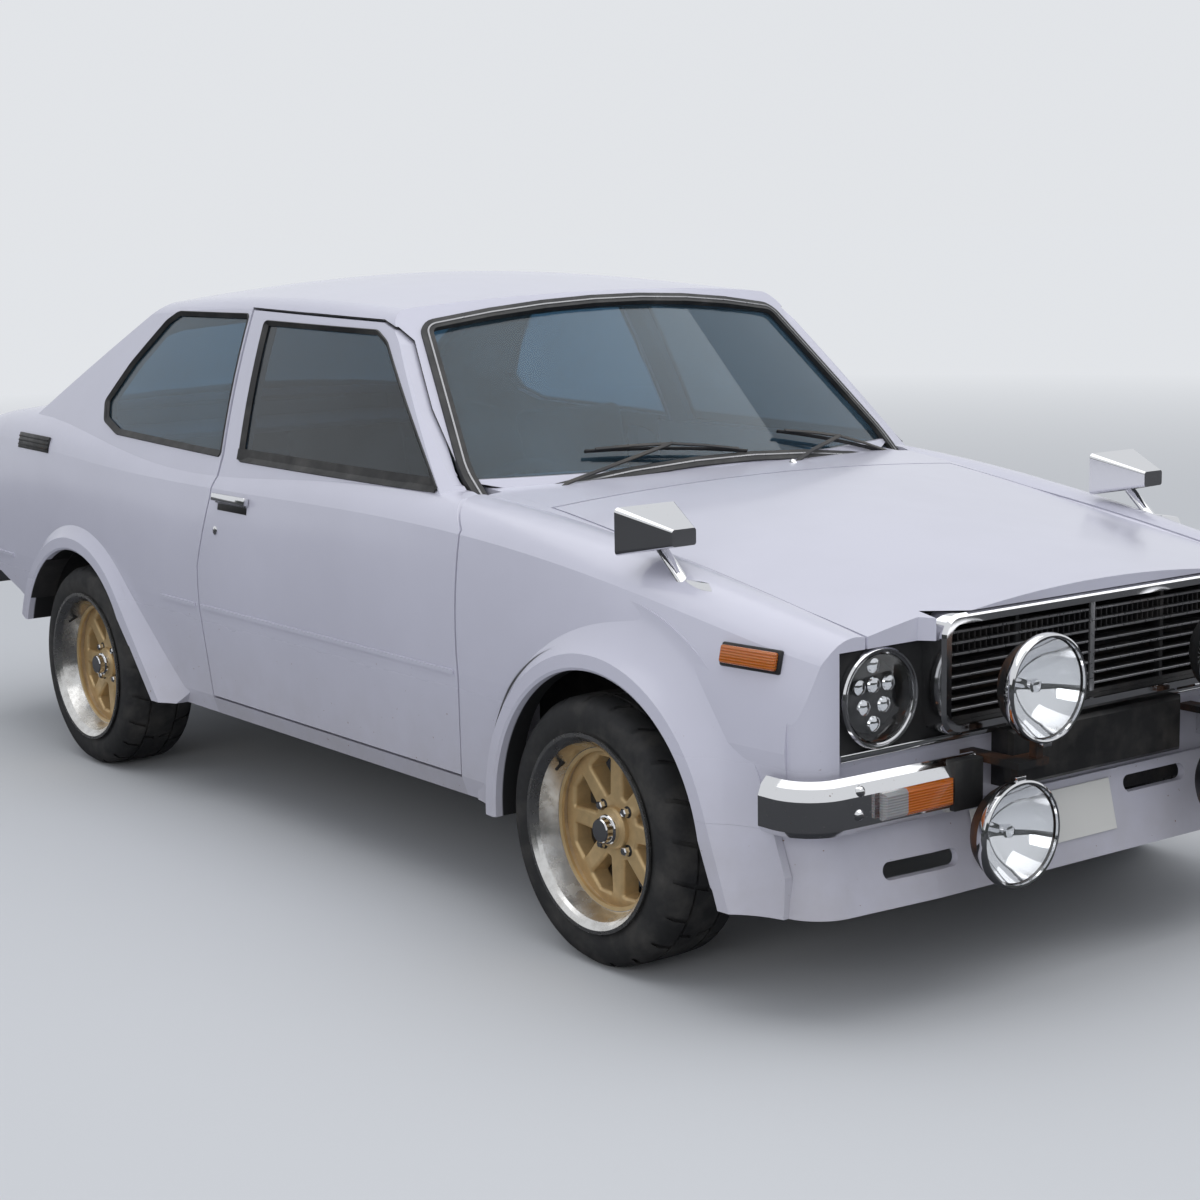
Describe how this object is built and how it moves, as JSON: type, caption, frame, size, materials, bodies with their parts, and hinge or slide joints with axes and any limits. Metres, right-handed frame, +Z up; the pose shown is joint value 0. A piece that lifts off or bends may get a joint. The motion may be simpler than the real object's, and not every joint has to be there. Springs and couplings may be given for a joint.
{
  "type": "two-door rally saloon car",
  "caption": "Small two-door rally saloon with opening doors, bonnet and boot lid, steered front wheels, blended arch flares, a front air dam and round driving lamps.",
  "frame": {"origin": "centre of the car's bounding box on the ground", "axes": "+X forward, +Y to the car's left, +Z up"},
  "size_m": [4.07, 1.636, 1.3649],
  "materials": {
    "body_white": "soft gloss, faded",
    "structure_white": "satin",
    "underside": "matt, dusty",
    "bare_chrome": "pitted",
    "black_metal": "matt",
    "window_glass": "green tint",
    "lamp_glass": "fluted",
    "amber_lens": "moulded",
    "red_lens": "moulded",
    "black_plastic": "grained",
    "wheel_gold": "gold paint with polished lip",
    "tyre_rubber": "semi-slick",
    "seat_cloth": "worn cloth",
    "running_gear": "oily"
  },
  "bodies": {
    "car": {"front_wings": "body_white", "scuttle": "body_white", "roof": "body_white", "quarter_panels": "body_white", "tail_panel": "body_white", "rear_deck": "body_white", "nose_panel": "body_white", "air_dam": "body_white", "fixed_glass": "window_glass", "floor_pan": "structure_white", "side_frames": "body_white", "front_structure": "structure_white", "grille_frame": "bare_chrome", "grille": "black_plastic", "headlamps": "lamp_glass", "bumpers": "bare_chrome", "bumper_bar": "black_metal", "indicators": "amber_lens", "tail_lamps": "red_lens", "driving_lamps": "lamp_glass", "lamp_brackets": "black_metal", "wing_mirrors": "bare_chrome", "dashboard": "black_plastic", "steering_wheel": "black_plastic", "front_seats": "seat_cloth", "rear_seat": "seat_cloth", "engine": "running_gear", "exhaust": "running_gear", "front_suspension": "running_gear", "rear_axle": "running_gear"},
    "bonnet": {"bonnet": "body_white"},
    "boot_lid": {"boot_lid": "body_white"},
    "door_right": {"door_right": "body_white", "door_glass_right": "window_glass"},
    "door_left": {"door_left": "body_white", "door_glass_left": "window_glass"},
    "knuckle_right": {"knuckle_right": "running_gear"},
    "knuckle_left": {"knuckle_left": "running_gear"},
    "wheel_front_right": {"rim_front_right": "wheel_gold", "tyre_front_right": "tyre_rubber"},
    "wheel_front_left": {"rim_front_left": "wheel_gold", "tyre_front_left": "tyre_rubber"},
    "wheel_rear_right": {"rim_rear_right": "wheel_gold", "tyre_rear_right": "tyre_rubber"},
    "wheel_rear_left": {"rim_rear_left": "wheel_gold", "tyre_rear_left": "tyre_rubber"}
  },
  "joints": [
    {"name": "door_right_hinge", "type": "hinge", "parent": "car", "child": "door_right", "pos_m": [0.784, -0.79, 0.56], "axis": [0, 0, 1], "range_deg": [0, 65]},
    {"name": "door_left_hinge", "type": "hinge", "parent": "car", "child": "door_left", "pos_m": [0.784, 0.79, 0.56], "axis": [0, 0, -1], "range_deg": [0, 65]},
    {"name": "bonnet_hinge", "type": "hinge", "parent": "car", "child": "bonnet", "pos_m": [0.894, 0, 0.9192], "axis": [0, -1, 0], "range_deg": [0, 50]},
    {"name": "boot_hinge", "type": "hinge", "parent": "car", "child": "boot_lid", "pos_m": [-1.655, 0, 0.9895], "axis": [0, 1, 0], "range_deg": [0, 75]},
    {"name": "steer_right", "type": "hinge", "parent": "car", "child": "knuckle_right", "pos_m": [1.26, -0.62, 0.165], "axis": [0, 0.1961, 0.9806], "range_deg": [-30, 30]},
    {"name": "steer_left", "type": "hinge", "parent": "car", "child": "knuckle_left", "pos_m": [1.26, 0.62, 0.165], "axis": [0, -0.1961, 0.9806], "range_deg": [-30, 30]},
    {"name": "spin_front_right", "type": "hinge", "parent": "knuckle_right", "child": "wheel_front_right", "pos_m": [1.26, -0.694, 0.281], "axis": [0, 1, 0], "continuous": true},
    {"name": "spin_front_left", "type": "hinge", "parent": "knuckle_left", "child": "wheel_front_left", "pos_m": [1.26, 0.694, 0.281], "axis": [0, 1, 0], "continuous": true},
    {"name": "spin_rear_right", "type": "hinge", "parent": "car", "child": "wheel_rear_right", "pos_m": [-1.11, -0.688, 0.281], "axis": [0, 1, 0], "continuous": true},
    {"name": "spin_rear_left", "type": "hinge", "parent": "car", "child": "wheel_rear_left", "pos_m": [-1.11, 0.688, 0.281], "axis": [0, 1, 0], "continuous": true}
  ],
  "couplings": [
    {"joint": "steer_left", "follows": "steer_right", "ratio": 1}
  ]
}
